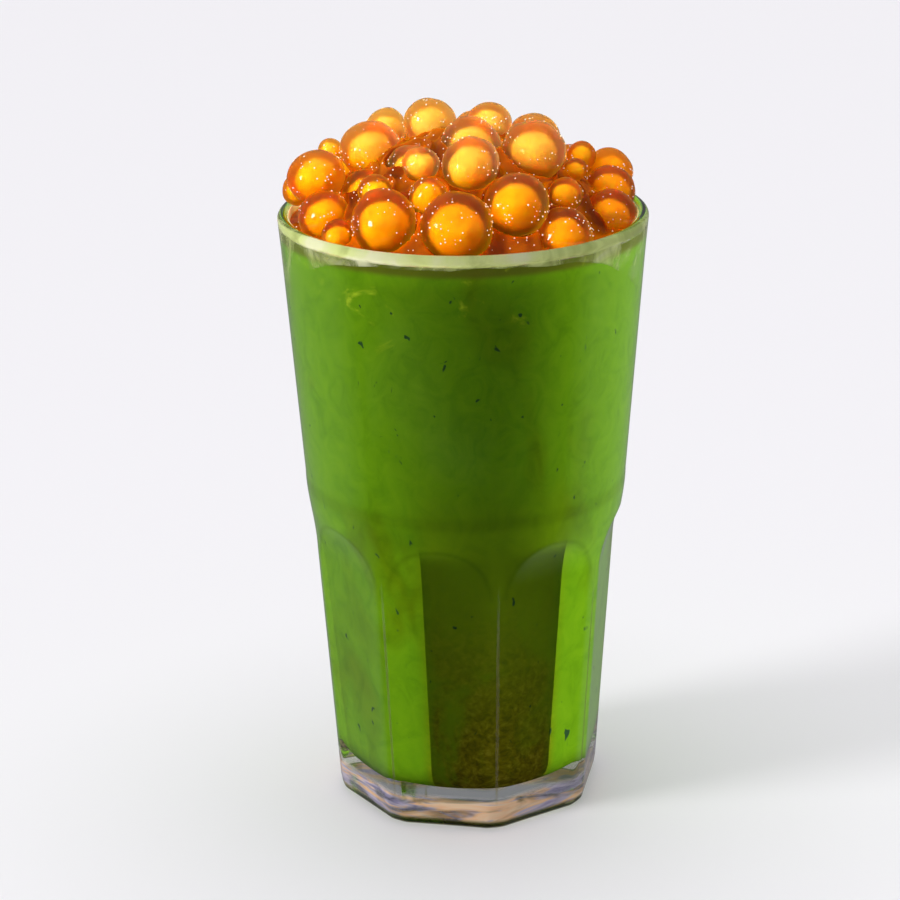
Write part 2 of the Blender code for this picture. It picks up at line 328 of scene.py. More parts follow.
point = add(turning, "ShaderNodeSeparateXYZ",
            [section_value("FLOAT_VECTOR",
                           add(turning, "GeometryNodeInputPosition").outputs[0])]).outputs
radius, height = point["X"], point["Z"]
panel_share, round_radius = section_field("panel"), section_field("round_radius")

# %% The panels in that tree
half_panel = reckon(turning, "DIVIDE", math.pi, given["Panels"])
off_centre = reckon(turning, "WRAP",
                    reckon(turning, "SUBTRACT", bearing, given["First panel bearing"]),
                    half_panel, reckon(turning, "MULTIPLY", half_panel, -1.0))
over = reckon(turning, "MAXIMUM",
              reckon(turning, "SUBTRACT", height, given["Straight height"]), 0.0)
scoop = given["Scoop radius"]
inner = reckon(turning, "SUBTRACT", reckon(turning, "MULTIPLY", scoop, scoop),
               reckon(turning, "MULTIPLY", over, over))
outward = reckon(turning, "SUBTRACT", scoop,
                 reckon(turning, "SQRT", reckon(turning, "MAXIMUM", inner, 0.0)))
face = reckon(turning, "ADD", reckon(turning, "MULTIPLY_ADD", height, given["Face lean"],
                                     given["Foot face"]), outward)
face_radius = reckon(turning, "DIVIDE", face, reckon(turning, "COSINE", off_centre))
met = reckon(turning, "SMOOTH_MIN", round_radius, face_radius, given["Arris rounding"])
drawn_in = reckon(turning, "MULTIPLY", reckon(turning, "SUBTRACT", round_radius, met), panel_share)
final_radius = reckon(turning, "SUBTRACT", radius, drawn_in)

# %% Mark the edges of the arches for a painted shade line in the finish, then place the points
EDGE_WIDTH = 0.4 * MM
off_edge = reckon(turning, "ABSOLUTE", reckon(turning, "SUBTRACT", round_radius, face_radius))
edge = add(turning, "ShaderNodeMapRange",
           {"Value": off_edge, "From Max": EDGE_WIDTH, "To Min": 1.0, "To Max": 0.0},
           interpolation_type="SMOOTHSTEP").outputs[0]
marked = add(turning, "GeometryNodeStoreNamedAttribute",
             {"Geometry": grid.outputs["Mesh"], "Name": "arch_edge",
              "Value": reckon(turning, "MULTIPLY", edge, panel_share)},
             data_type="FLOAT", domain="POINT").outputs[0]

spot = add(turning, "ShaderNodeCombineXYZ", [
    reckon(turning, "MULTIPLY", final_radius, reckon(turning, "SINE", bearing)),
    reckon(turning, "MULTIPLY", final_radius,
           reckon(turning, "MULTIPLY", reckon(turning, "COSINE", bearing), -1.0)),
    height]).outputs[0]
shaped = add(turning, "GeometryNodeSetPosition",
             {"Geometry": marked, "Position": spot}).outputs[0]
closed = add(turning, "GeometryNodeMergeByDistance",
             {"Geometry": shaped, "Distance": MERGE_DISTANCE}).outputs[0]
realized = add(turning, "GeometryNodeRealizeInstances", [closed]).outputs[0]
finished = add(turning, "GeometryNodeSetMaterial",
               {"Geometry": realized, "Material": given["Finish"]}).outputs[0]
turning.links.new(finished, out)
print("turning tree has", len(turning.nodes), "nodes")

# %% [markdown]
# ## Section of the glass
#
# Cut through its axis, the glass has a rounded lip, a straight upper wall, a shoulder, a thick
# foot with a rounded heel, and a shallow recess underneath. The section could be drawn as a curve
# by hand. Arcs and straight lines between named sizes stay true when a size is changed, and the
# same lines give the cavity to the drink.


# %% Arcs, lines and the outer wall
def arc(centre, radius, start, end, steps):
    """Arc in the section plane, with angles in degrees from outward to upward."""
    turns = [math.radians(start + (end - start) * i / steps) for i in range(steps + 1)]
    return [(centre[0] + radius * math.cos(t), centre[1] + radius * math.sin(t)) for t in turns]


def straight(start, end, steps):
    """Points between two others, without either end."""
    return [(start[0] + (end[0] - start[0]) * i / steps, start[1] + (end[1] - start[1]) * i / steps)
            for i in range(1, steps)]


def wall_radius(z):
    """Round radius of the outside at a height, as if no panels were cut."""
    if z >= SHOULDER_HEIGHT:
        share = (z - SHOULDER_HEIGHT) / (HEIGHT - SHOULDER_HEIGHT)
        return SHOULDER_RADIUS + (RIM_RADIUS - SHOULDER_RADIUS) * share
    if z <= BODY_HEIGHT:
        return FOOT_RADIUS + (BODY_RADIUS - FOOT_RADIUS) * z / BODY_HEIGHT
    share = (SHOULDER_HEIGHT - z) / (SHOULDER_HEIGHT - BODY_HEIGHT)
    return SHOULDER_RADIUS + (BODY_RADIUS - SHOULDER_RADIUS) * share * share * (3 - 2 * share)


mouth_slope = math.degrees(math.atan2(MOUTH_RADIUS - CAVITY_WAIST_RADIUS,
                                      HEIGHT - CAVITY_WAIST_HEIGHT))
fillet_centre = (CAVITY_FOOT_RADIUS - CAVITY_FILLET, FLOOR_HEIGHT + CAVITY_FILLET)
FILLET_STEPS, LINE_STEPS, LIP_STEPS = 14, 8, 7


def cavity(grow):
    """Cavity from the middle of its floor up to the waist, made wider by grow."""
    fillet = arc(fillet_centre, CAVITY_FILLET + grow, -90, 4, FILLET_STEPS)
    middle = (0.0, fillet[0][1])
    waist = (CAVITY_WAIST_RADIUS + grow, CAVITY_WAIST_HEIGHT)
    return ([middle] + straight(middle, fillet[0], LINE_STEPS) + fillet
            + straight(fillet[-1], waist, LINE_STEPS) + [waist])


inner_lip = arc((MOUTH_RADIUS + LIP_ROUNDING, HEIGHT - LIP_ROUNDING), LIP_ROUNDING,
                180 - mouth_slope, 92, LIP_STEPS)
outer_lip = arc((RIM_RADIUS - LIP_ROUNDING, HEIGHT - LIP_ROUNDING), LIP_ROUNDING,
                88, -4, LIP_STEPS)
upper_wall = straight((CAVITY_WAIST_RADIUS, CAVITY_WAIST_HEIGHT), inner_lip[0], LINE_STEPS)


def mouth_radius(z):
    """Radius of the inner wall above its waist."""
    share = (z - CAVITY_WAIST_HEIGHT) / (inner_lip[0][1] - CAVITY_WAIST_HEIGHT)
    return CAVITY_WAIST_RADIUS + share * (inner_lip[0][0] - CAVITY_WAIST_RADIUS)


# %% Section from the floor of the cavity over the lip and down to the base
inside = cavity(0.0) + upper_wall + inner_lip + outer_lip

# Heights of the points outside, in millimetres, close together where the panels end in arches.
ABOVE_SHOULDER = [140, 130, 120, 110, 100, 92, 88, 86]
AT_ARCHES = [84 - 0.5 * i for i in range(49)]
BELOW_ARCHES = [57, 54, 50, 40, 30, 20, 12, 6, 3.5]
outside = [(wall_radius(z * MM), z * MM) for z in ABOVE_SHOULDER + AT_ARCHES + BELOW_ARCHES]
heel = arc((wall_radius(0.0) - HEEL_ROUNDING, HEEL_ROUNDING), HEEL_ROUNDING, 0, -90, 7)
underside = straight(heel[-1], (RECESS_RADIUS + RECESS_DEPTH, 0.0), 5)
underside += [(RECESS_RADIUS + RECESS_DEPTH, 0.0), (RECESS_RADIUS + 0.6 * RECESS_DEPTH, 0.04 * MM),
              (RECESS_RADIUS, 0.35 * RECESS_DEPTH), (RECESS_RADIUS - 0.8 * MM, 0.75 * RECESS_DEPTH),
              (RECESS_RADIUS - 2 * MM, 0.95 * RECESS_DEPTH), (RECESS_RADIUS - 4 * MM, RECESS_DEPTH)]
underside += straight(underside[-1], (0.0, RECESS_DEPTH), 6) + [(0.0, RECESS_DEPTH)]
print("points in the section:", len(inside) + len(outside) + len(heel) + len(underside))


# %% Section mesh with its attributes
PANEL_FADE = 6.0 * MM


def section_mesh(name, points, panelled_from=None):
    """Chain of points. From one point on, the panels act, and fade out under the base."""
    mesh = bpy.data.meshes.new(name)
    mesh.from_pydata([(r, 0.0, z) for r, z in points],
                     [(i, i + 1) for i in range(len(points) - 1)], [])
    shares, rounds = [], []
    for i, (r, z) in enumerate(points):
        acts = panelled_from is not None and i >= panelled_from
        fade = (r - RECESS_RADIUS - RECESS_DEPTH) / PANEL_FADE
        shares.append(max(0.0, min(1.0, fade)) if acts else 0.0)
        rounds.append(wall_radius(z))
    mesh.attributes.new("panel", "FLOAT", "POINT").data.foreach_set("value", shares)
    mesh.attributes.new("round_radius", "FLOAT", "POINT").data.foreach_set("value", rounds)
    return mesh


glass_section = section_mesh("Glass_section", inside + outside + heel + underside, len(inside))

# %% [markdown]
# ## Finish of the glass
#
# Pressed soda-lime glass is clear, with a trace of green where it is thick, and never perfectly
# even: a very low, wide bump bends what is seen through it, and its roughness wanders. In a real
# room the thick foot would gather peach and violet bands, and the shoulder, the arches and the
# arrises would show as soft olive lines, because they bend the drink's edge. Refraction alone could
# give all that in the right room. In a plain studio it doesn't, so each is painted into the glass
# at its own height: a painted reflection of peach and violet bands in the foot, where the glass is
# also made partly opaque, and painted dark lines at the shoulder, the arches, the arrises and the
# bottom edge of the foot.


# %% Shader helpers
def new_finish(name):
    mat = bpy.data.materials.new(name)
    mat.use_nodes = True
    tree = mat.node_tree
    return mat, tree, tree.nodes["Principled BSDF"]


def spread(tree, scale, detail=3.0, rough=0.5, distortion=0.0, stretch=(1, 1, 1)):
    """Noise on the object's own coordinates. Scale is in features per metre."""
    where = add(tree, "ShaderNodeTexCoord").outputs["Object"]
    mapped = add(tree, "ShaderNodeMapping", {"Vector": where, "Scale": stretch}).outputs[0]
    noise = add(tree, "ShaderNodeTexNoise", {"Vector": mapped, "Scale": scale, "Detail": detail,
                                             "Roughness": rough, "Distortion": distortion})
    return noise.outputs["Fac"]


def ramp(tree, value, *stops):
    """Colour ramp through the given (position, colour) stops."""
    node = add(tree, "ShaderNodeValToRGB", {"Fac": value})
    band = node.color_ramp
    while len(band.elements) > 1:
        band.elements.remove(band.elements[-1])
    band.elements[0].position = stops[0][0]
    band.elements[0].color = (*stops[0][1], 1.0)
    for at, colour in stops[1:]:
        band.elements.new(at).color = (*colour, 1.0)
    return node.outputs["Color"]


def between(tree, value, low, high, to_low=0.0, to_high=1.0):
    """Map a value from one range to another, smoothly and clamped."""
    node = add(tree, "ShaderNodeMapRange", {"Value": value, "From Min": low, "From Max": high,
                                            "To Min": to_low, "To Max": to_high},
               interpolation_type="SMOOTHSTEP")
    return node.outputs["Result"]


def blended(tree, share, first, second, how="MIX"):
    node = add(tree, "ShaderNodeMix", data_type="RGBA", blend_type=how)
    plug(tree, node.inputs["Factor"], share)
    for socket, value in ((node.inputs[6], first), (node.inputs[7], second)):
        plug(tree, socket, value if isinstance(value, bpy.types.NodeSocket) else (*value, 1.0))
    return node.outputs[2]


def object_place(tree):
    """The object's own X, Y and Z at the shaded point."""
    return add(tree, "ShaderNodeSeparateXYZ",
               [add(tree, "ShaderNodeTexCoord").outputs["Object"]]).outputs


def off_side_middle(tree, where, sides, first):
    """Angle from the middle of the nearest of some equal sides, and half a side's angle."""
    bearing = reckon(tree, "ARCTAN2", where["X"], reckon(tree, "MULTIPLY", where["Y"], -1.0))
    half = math.pi / sides
    off = reckon(tree, "WRAP", reckon(tree, "SUBTRACT", bearing, first), half, -half)
    return bearing, off, half


def product(tree, *values):
    """Product of two or more values."""
    total = values[0]
    for value in values[1:]:
        total = reckon(tree, "MULTIPLY", total, value)
    return total


def set_shader(tree, shader, values):
    """Set or join the shader's own inputs by name."""
    for name, value in values.items():
        plug(tree, shader.inputs[name], value)


def relief(tree, shader, value, distance, strength=1.0):
    bump = add(tree, "ShaderNodeBump", {"Strength": strength, "Distance": distance,
                                        "Height": value})
    tree.links.new(bump.outputs["Normal"], shader.inputs["Normal"])


# %% Where the painted tints of the glass fade in
# Pairs of heights from none to full. The last pair is of angles inside an arris, in radians.
FOOT_BELOW, FOOT_ABOVE = (9.5 * MM, 7.5 * MM), (1.2 * MM, 3.0 * MM)
FOOT_LINE_BELOW = (3.0 * MM, 1.6 * MM)
ARRIS_BELOW, ARRIS_ABOVE = (68.0 * MM, 45.0 * MM), (6.0 * MM, 12.0 * MM)
ARCH_ABOVE = (60.0 * MM, 66.0 * MM)
SHOULDER_BELOW, SHOULDER_ABOVE = (85.0 * MM, 82.5 * MM), (79.5 * MM, 81.5 * MM)
ARRIS_OUTSIDE, ARRIS_CORE = 0.014, 0.003

# %% Glass finish
glass_finish, tree, shader = new_finish("Clear pressed glass")
where = object_place(tree)
# Painted reflection: peach and violet bands of a room in the thick foot, which is also made partly
# opaque there.
foot = between(tree, where["Z"], *FOOT_BELOW)
layers = spread(tree, 30.0, 3.0, 0.6, 1.5, (1, 1, 7.0))
bands = ramp(tree, layers, (0.36, (0.36, 0.32, 0.50)), (0.44, (0.62, 0.56, 0.68)),
             (0.50, (1.00, 0.62, 0.36)), (0.62, (1.00, 0.74, 0.50)), (0.70, (0.46, 0.44, 0.66)))
glow = between(tree, spread(tree, 48.0, 3.0, 0.6, 1.0, (1, 1, 5.0)), 0.38, 0.58, 0.30, 0.90)
_, off_panel, half_panel = off_side_middle(tree, where, PANELS, FIRST_PANEL_BEARING)
near_arris = between(tree, reckon(tree, "ABSOLUTE", off_panel),
                     half_panel - ARRIS_OUTSIDE, half_panel - ARRIS_CORE)
# Painted shade lines: the arrises, the arch edges and the shoulder tint the glass dark olive where
# real refraction would show the drink's edge; the arrises are also made a little opaque.
arris = product(tree, near_arris, between(tree, where["Z"], *ARRIS_BELOW),
                between(tree, where["Z"], *ARRIS_ABOVE))
arch = product(tree, add(tree, "ShaderNodeAttribute", attribute_name="arch_edge").outputs["Fac"],
               between(tree, where["Z"], *ARCH_ABOVE), 0.6)
shoulder = product(tree, between(tree, where["Z"], *SHOULDER_ABOVE),
                   between(tree, where["Z"], *SHOULDER_BELOW), 0.55)
clear = blended(tree, foot, (0.965, 0.985, 0.97), bands)
# Painted shade: a dark olive line along the bottom edge of the foot.
clear = blended(tree, between(tree, where["Z"], *FOOT_LINE_BELOW), clear, (0.22, 0.23, 0.06))
clear = blended(tree, arch, clear, (0.42, 0.44, 0.20))
clear = blended(tree, shoulder, clear, (0.50, 0.46, 0.22))
clear = blended(tree, product(tree, arris, 0.9), clear, (0.46, 0.40, 0.10))
painted_foot_reflection = product(tree, foot, between(tree, where["Z"], *FOOT_ABOVE), glow)
painted_opacity = reckon(tree, "MAXIMUM", painted_foot_reflection, product(tree, arris, 0.12))
set_shader(tree, shader, {
    "Base Color": clear, "Transmission Weight": reckon(tree, "SUBTRACT", 1.0, painted_opacity), "IOR": 1.5,
    "Roughness": between(tree, spread(tree, 45.0, 4.0), 0.35, 0.7, 0.0, 0.05)})
relief(tree, shader, spread(tree, 28.0, 1.0), 0.0002, 0.35)

# %% The tumbler itself
glass = made_by(turning, glass_section, "Panelled_tumbler", {
    "Steps round": 384, "Panels": PANELS, "First panel bearing": FIRST_PANEL_BEARING,
    "Foot face": (FOOT_RADIUS + ARRIS_PROUD) * math.cos(math.pi / PANELS),
    "Face lean": (BODY_RADIUS - FOOT_RADIUS) / BODY_HEIGHT * math.cos(math.pi / PANELS),
    "Straight height": PANEL_STRAIGHT, "Scoop radius": PANEL_SCOOP_RADIUS,
    "Arris rounding": 0.4 * MM, "Finish": glass_finish})
facing_out(glass)
glass.visible_shadow = False
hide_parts("glass")
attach(glass, "root")

# %% [markdown]
# ## The drink
#
# Matcha whisked into milk is an opaque, slightly uneven green. A volume that scatters light would
# be truer but slow and noisy, so the drink is a solid colour with a little light under its skin.
# Its finish is laid up in layers: soft clouds where milk and tea haven't quite mixed, a fine
# mottle, an olive tint on the front side that is painted shade, grainy dregs low on the front that
# are settled powder and painted shade at once, a dark ring under the surface, pale curds near the
# top, and dark flecks and blots of powder at the wall.

# %% Colours of the drink
GREEN = (0.106, 0.232, 0.0040)
BRIGHT_GREEN = (0.110, 0.236, 0.010)
OLIVE = (0.084, 0.140, 0.0008)
# Dregs: settled powder, and painted shade too, as they are kept to the front side.
DREGS_AND_SHADE = (0.135, 0.120, 0.0008)
RING = (0.080, 0.075, 0.008)
# Painted shade: the olive of the front side, which the side lights leave dark.
FRONT_PAINTED_SHADE = (0.128, 0.196, 0.0016)
CURD = (0.34, 0.44, 0.02)
FLECK = (0.018, 0.052, 0.016)
BLOT = (0.028, 0.085, 0.030)

# %% Where its layers fade in
# Pairs of heights from none to full. The front's pair is of angles off its middle, in radians.
DREGS_AND_SHADE_BELOW = (70.0 * MM, 12.0 * MM)
FRONT_SHADE_BELOW = (100.0 * MM, 62.0 * MM)
RING_ABOVE = (DRINK_LEVEL - 3.2 * MM, DRINK_LEVEL - 1.6 * MM)
CURDS_ABOVE = (118.0 * MM, 134.0 * MM)
FLAT_LIGHT_BELOW = (75.5 * MM, 70.0 * MM)
FRONT_WIDTH = (0.62, 0.42)
LIGHT_SIDES = 6

# %% Finish of the drink
drink_finish, tree, shader = new_finish("Matcha and milk")
clouds = spread(tree, 32.0, 3.0, 0.5, 0.8, (1, 1, 0.55))
body = ramp(tree, clouds, (0.30, OLIVE), (0.45, GREEN), (0.62, GREEN), (0.76, BRIGHT_GREEN))
where = object_place(tree)
front_side = FIRST_PANEL_BEARING + math.pi / PANELS
bearing, off_side, half_side = off_side_middle(tree, where, LIGHT_SIDES, front_side)
mottle = ramp(tree, spread(tree, 170.0, 5.0, 0.65, 1.2, (1, 1, 0.8)),
              (0.30, (0.70, 0.76, 0.68)), (0.50, (0.93, 0.94, 0.93)), (0.70, (1.10, 1.05, 1.2)))
body = blended(tree, 0.85, body, mottle, "MULTIPLY")
# Settled powder and painted shade: grainy brown dregs low on the front side only.
sunk = between(tree, where["Z"], *DREGS_AND_SHADE_BELOW)
off_front = reckon(tree, "ABSOLUTE", reckon(tree, "SUBTRACT", bearing, front_side))
at_front = between(tree, off_front, *FRONT_WIDTH)
patchy = between(tree, spread(tree, 45.0, 5.0, 0.62, 0.8, (1, 1, 0.7)), 0.34, 0.58)
dreg_grains_and_shade = ramp(tree, spread(tree, 620.0, 4.0, 0.7, 0.5), (0.36, (0.075, 0.062, 0.0006)),
              (0.52, DREGS_AND_SHADE), (0.68, (0.230, 0.190, 0.012)))
# Painted shade: the front side, which the side lights leave dark, is tinted olive.
front_shade = product(tree, between(tree, where["Z"], *FRONT_SHADE_BELOW, 0.0, 0.70), at_front)
body = blended(tree, front_shade, body, FRONT_PAINTED_SHADE)
body = blended(tree, product(tree, sunk, patchy, at_front), body, dreg_grains_and_shade)
body = blended(tree, between(tree, where["Z"], *RING_ABOVE, 0.0, 0.8), body, RING)
curds = between(tree, spread(tree, 52.0, 4.0, 0.6, 2.0, (1, 1, 1.3)), 0.62, 0.78, 0.0, 0.8)
near_top = between(tree, where["Z"], *CURDS_ABOVE)
body = blended(tree, product(tree, curds, near_top), body, CURD)
flecks = between(tree, spread(tree, 330.0, 2.0, 0.5, 0.4, (1, 1, 0.7)), 0.705, 0.745)
body = blended(tree, flecks, body, FLECK)
blots = between(tree, spread(tree, 120.0, 3.0, 0.6, 1.0, (1, 1, 0.6)), 0.70, 0.76, 0.0, 0.65)
set_shader(tree, shader, {
    "Base Color": blended(tree, blots, body, BLOT), "Roughness": 0.5, "Specular IOR Level": 0.0,
    "Subsurface Weight": 0.12, "Subsurface Radius": (0.7, 1.0, 0.25), "Subsurface Scale": 0.003})

# %% [markdown]
# ## Light through the panels
#
# A flat panel lets light in as a window does: behind it the drink is lit as if it were flat too,
# with a sharp edge where the light of the next panel begins. The drink itself is round there, so
# its shape can't be changed for that. A height pattern of broad flat sides gives it that light,
# and fades out where the panels end.

# %% Light through the panels
flat_side = reckon(tree, "DIVIDE", math.cos(half_side), reckon(tree, "COSINE", off_side))
sunk_in = reckon(tree, "MULTIPLY", reckon(tree, "SUBTRACT", flat_side, 1.0), CAVITY_WAIST_RADIUS)
relief(tree, shader, sunk_in, 1.0, between(tree, where["Z"], *FLAT_LIGHT_BELOW))

# %% [markdown]
# ## Shape of the drink
#
# The drink fills the cavity up to its level. It could stop at the wall, but a gap of air there
# would shine like a mirror, so it reaches a hair into the glass. The tree that turned the glass
# turns it too, without panels.

# %% The drink itself
drink_line = cavity(INTO_WALL)
drink_top = (mouth_radius(DRINK_LEVEL) + INTO_WALL, DRINK_LEVEL)
drink_line += straight(drink_line[-1], drink_top, 12) + [drink_top]
drink_line += straight(drink_top, (0.0, DRINK_LEVEL), 6) + [(0.0, DRINK_LEVEL)]
drink = made_by(turning, section_mesh("Drink_section", drink_line), "Matcha_latte", {
    "Steps round": 192, "Panels": PANELS, "Scoop radius": PANEL_SCOOP_RADIUS,
    "Finish": drink_finish})
facing_out(drink)
lit_from_sides = bpy.data.collections.new("Lit from the sides")
lit_from_sides.objects.link(drink)
for edge_light in (left_edge, right_edge):
    edge_light.light_linking.receiver_collection = lit_from_sides
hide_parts("drink")
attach(drink, "root")

# %% [markdown]
# ## Film of milk under the lip
#
# The drink has washed over the wall and left a pale, ragged film under the lip, which runs down
# further on two sides. It could be painted on the glass, but the glass is clear there and the
# paint would show on both its faces. So it is a thin ring in the inner face of the wall. Its
# lower edge is uneven, because each point of it is moved by its own amount.

# %% Finish of the film
FILM_TOP = 147.3 * MM
FILM_DEPTH = 0.12 * MM
WASHED_ABOVE = (127.0 * MM, 142.0 * MM)
THICK_ABOVE = (144.0 * MM, 144.9 * MM)
THICK_WANDERS = 1.6 * MM

film_finish, tree, shader = new_finish("Film of milk")
streaks = spread(tree, 60.0, 4.0, 0.6, 0.6, (1, 1, 2.2))
where = object_place(tree)
washed = between(tree, where["Z"], *WASHED_ABOVE, 0.0, 0.70)
ragged = between(tree, spread(tree, 70.0, 4.0, 0.6, 1.0, (1, 1, 0.5)), 0.36, 0.62)
wander = product(tree, spread(tree, 110.0, 3.0, 0.6), THICK_WANDERS)
thick = between(tree, reckon(tree, "SUBTRACT", where["Z"], wander), *THICK_ABOVE)
set_shader(tree, shader, {
    "Base Color": ramp(tree, streaks, (0.36, (0.52, 0.58, 0.17)), (0.50, (0.88, 0.94, 0.38)),
                       (0.64, (1.0, 0.98, 0.66))),
    "Roughness": 0.4,
    "Alpha": reckon(tree, "MAXIMUM", product(tree, washed, ragged), product(tree, thick, 0.92))})

# %% The film itself
film_low = DRINK_LEVEL - 18.0 * MM
film_foot = mouth_radius(film_low) + 0.04 * MM
film_line = [(film_foot, film_low), (mouth_radius(film_low) + FILM_DEPTH, film_low)]
film_line += straight(film_line[-1], (mouth_radius(FILM_TOP) + FILM_DEPTH, FILM_TOP), 12)
film_line += [(mouth_radius(FILM_TOP) + FILM_DEPTH, FILM_TOP),
              (mouth_radius(FILM_TOP) - 0.08 * MM, FILM_TOP),
              (mouth_radius(DRINK_LEVEL) - 0.08 * MM, DRINK_LEVEL), (film_foot, film_low)]
film = made_by(turning, section_mesh("Film_section", film_line), "Milk_film", {
    "Steps round": 256, "Panels": PANELS, "Scoop radius": PANEL_SCOOP_RADIUS,
    "Finish": film_finish})

# %% Draw its lower edge up, all but at the two sides
SHORT_IN_FRONT, UNEVEN, SIDE_NARROWNESS = 17.4 * MM, 0.5 * MM, 7
wall_slope = (inner_lip[0][0] - CAVITY_WAIST_RADIUS) / (inner_lip[0][1] - CAVITY_WAIST_HEIGHT)
for vertex in film.data.vertices:
    x, y, z = vertex.co
    turn = math.atan2(x, -y)
    wave = 0.5 * math.sin(5 * turn + 1.0) + 0.3 * math.sin(11 * turn) + 0.2 * math.sin(23 * turn)
    short = SHORT_IN_FRONT * (1 - abs(math.sin(turn)) ** SIDE_NARROWNESS) + UNEVEN * wave
    share = max(0.0, (FILM_TOP - z) / (FILM_TOP - film_low))
    rise = max(0.0, short * share)
    widen = 1 + rise * wall_slope / math.hypot(x, y)
    vertex.co = (x * widen, y * widen, z + rise)
facing_out(film)
film.visible_shadow = False
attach(film, "root")

# %% [markdown]
# ## Where the pearls lie
#
# The heap is a mound of pearls of many sizes. Dropping them in a simulation would give a heap,
# but not this one. So each pearl in front has a place in the picture, given in millimetres from
# the middle of the rim, and slides along the line of sight until it rests on the mound, clear of
# those before it. The back of the heap and the gaps are filled by chance, from a fixed seed. The
# CAD model seats its pearls by the same rules.

# %% Rules of the heap
GAP = 0.3 * MM
MOUND_TOP = 168.5 * MM
MOUND_EDGE = 152.0 * MM
MOUND_EDGE_RADIUS = 33.0 * MM
SYRUP_DEPTH = 3.0 * MM
PEARLS_TOUCH = 0.90
FILL_FRONT = -12.0 * MM
SECOND_LAYER = 7.0 * MM
FILL_TRIES = 9000
FILL_REACH = 39.0 * MM
FILL_LARGEST, FILL_RANGE = 7.6 * MM, 4.4 * MM
BACK_FROM = 4.0 * MM
OUTLINE_TOP, OUTLINE_BEND = 24.5 * MM, 10.5
SLIDE_FROM, SLIDE_STEP, SLIDE_STEPS = -50.0 * MM, 0.5 * MM, 200
CROWDING = 0.05
PEARL_SEED = 12

# %% Pearls that show in front: across, up, radius, how far proud of the mound, in millimetres
FRONT_PEARLS = (
    (-1.5, -7.8, 8.4, 0.0),
    (-18.7, -5.9, 7.9, 0.0),
    (23.8, -9.4, 6.8, 0.0),
    (-29.6, -8.3, 3.8, 0.0),
    (-32.8, -2.6, 6.2, 0.0),
    (12.5, -2.2, 7.8, 0.0),
    (34.8, -3.0, 6.4, 0.0),
    (24.2, 1.1, 4.2, 0.0),
    (-8.2, 0.2, 4.7, 0.0),
    (-20.6, 2.2, 4.4, 0.0),
    (1.9, 8.0, 6.7, 0.0),
    (-9.9, 8.4, 4.3, 0.0),
    (-34.6, 7.3, 6.9, 7.0),
    (16.8, 12.0, 7.6, 0.0),
    (-21.6, 13.9, 7.6, 0.0),
    (2.2, 13.9, 7.3, 0.0),
    (26.7, 8.3, 3.0, 0.0),
    (35.0, 4.2, 6.4, 4.0),
    (-7.5, 20.9, 6.4, 0.0),
    (6.2, 19.6, 5.6, 0.0),
    (28.1, 12.7, 3.6, 2.0),
    (36.0, 10.0, 5.6, 6.0),
    (16.8, 17.1, 6.6, 0.0),
    (-18.1, 20.0, 5.2, 2.0),
    (-31.3, 14.6, 3.2, 5.0),
    (-39.5, 5.5, 4.0, 7.0),
)


# %% Seat the pearls
def mound_height(far):
    return MOUND_TOP - (MOUND_TOP - MOUND_EDGE) * (far / MOUND_EDGE_RADIUS) ** 2


def widest_seat(z, radius):
    """How far from the axis a pearl's centre may lie and still clear the lip of the glass."""
    reach = radius if z < HEIGHT else math.sqrt(max(radius ** 2 - (z - HEIGHT) ** 2, 0.0))
    return min(MOUTH_RADIUS - GAP - 0.9 * reach, RIM_RADIUS - GAP - radius)


def kept_inside(x, y, z, radius):
    limit = widest_seat(z, radius)
    far = math.hypot(x, y)
    if far > limit:
        x, y = x * limit / far, y * limit / far
    return Vector((x, y, z))


def seen_at(across, up, depth):
    """The point that shows at (across, up) and lies depth behind the axis along the view."""
    zoom = 1.0 + depth / VIEW_DISTANCE
    y = up * zoom * math.sin(VIEW_TILT) + depth * math.cos(VIEW_TILT)
    z = HEIGHT + up * zoom * math.cos(VIEW_TILT) - depth * math.sin(VIEW_TILT)
    return across * zoom, y, z


def clearance(placed, centre, radius):
    """Distance to the nearest pearl, as a part of the distance at which the two would touch."""
    return min([(centre - other).length / (radius + r) for other, r in placed], default=9.0)


def seat_in_front(placed, across, up, radius, proud):
    """Slide along the line of sight to the place that lies best on the mound."""
    spots = []
    for step in range(SLIDE_STEPS):
        x, y, z = seen_at(across, up, SLIDE_FROM + SLIDE_STEP * step)
        far = math.hypot(x, y)
        stray = max(z - proud - mound_height(far), far - widest_seat(z, radius), 0.0)
        centre = kept_inside(x, y, z, radius)
        room = min(clearance(placed, centre, radius), PEARLS_TOUCH)
        spots.append((stray - CROWDING * room, step, centre))
    return min(spots, key=lambda spot: spot[:2])[2]


def seat_by_chance(rng, share):
    """A seat for the back or for a gap, with smaller pearls in the later tries."""
    radius = FILL_LARGEST - FILL_RANGE * share ** 0.6
    turn = rng.uniform(0.0, 2 * math.pi)
    far = math.sqrt(rng.uniform(0.0, 1.0)) * FILL_REACH
    x, y = far * math.cos(turn), far * math.sin(turn)
    layer = 0.0 if y > BACK_FROM else SECOND_LAYER
    outline = OUTLINE_TOP - OUTLINE_BEND * x ** 2
    z = (outline - radius - y * math.sin(VIEW_TILT)) / math.cos(VIEW_TILT) + HEIGHT
    z = min(z, mound_height(far) - layer)
    if y < FILL_FRONT or z < HEIGHT - 4 * MM:
        return None, radius
    return kept_inside(x, y, max(z, HEIGHT - 0.5 * MM), radius), radius


def seated_pearls():
    placed = []
    for across, up, radius, proud in FRONT_PEARLS:
        seat = seat_in_front(placed, across * MM, up * MM, radius * MM, proud * MM)
        placed.append((seat, radius * MM))
    rng = random.Random(PEARL_SEED)
    for attempt in range(FILL_TRIES):
        seat, radius = seat_by_chance(rng, attempt / FILL_TRIES)
        if seat is not None and clearance(placed, seat, radius) > PEARLS_TOUCH:
            placed.append((seat, radius))
    return placed


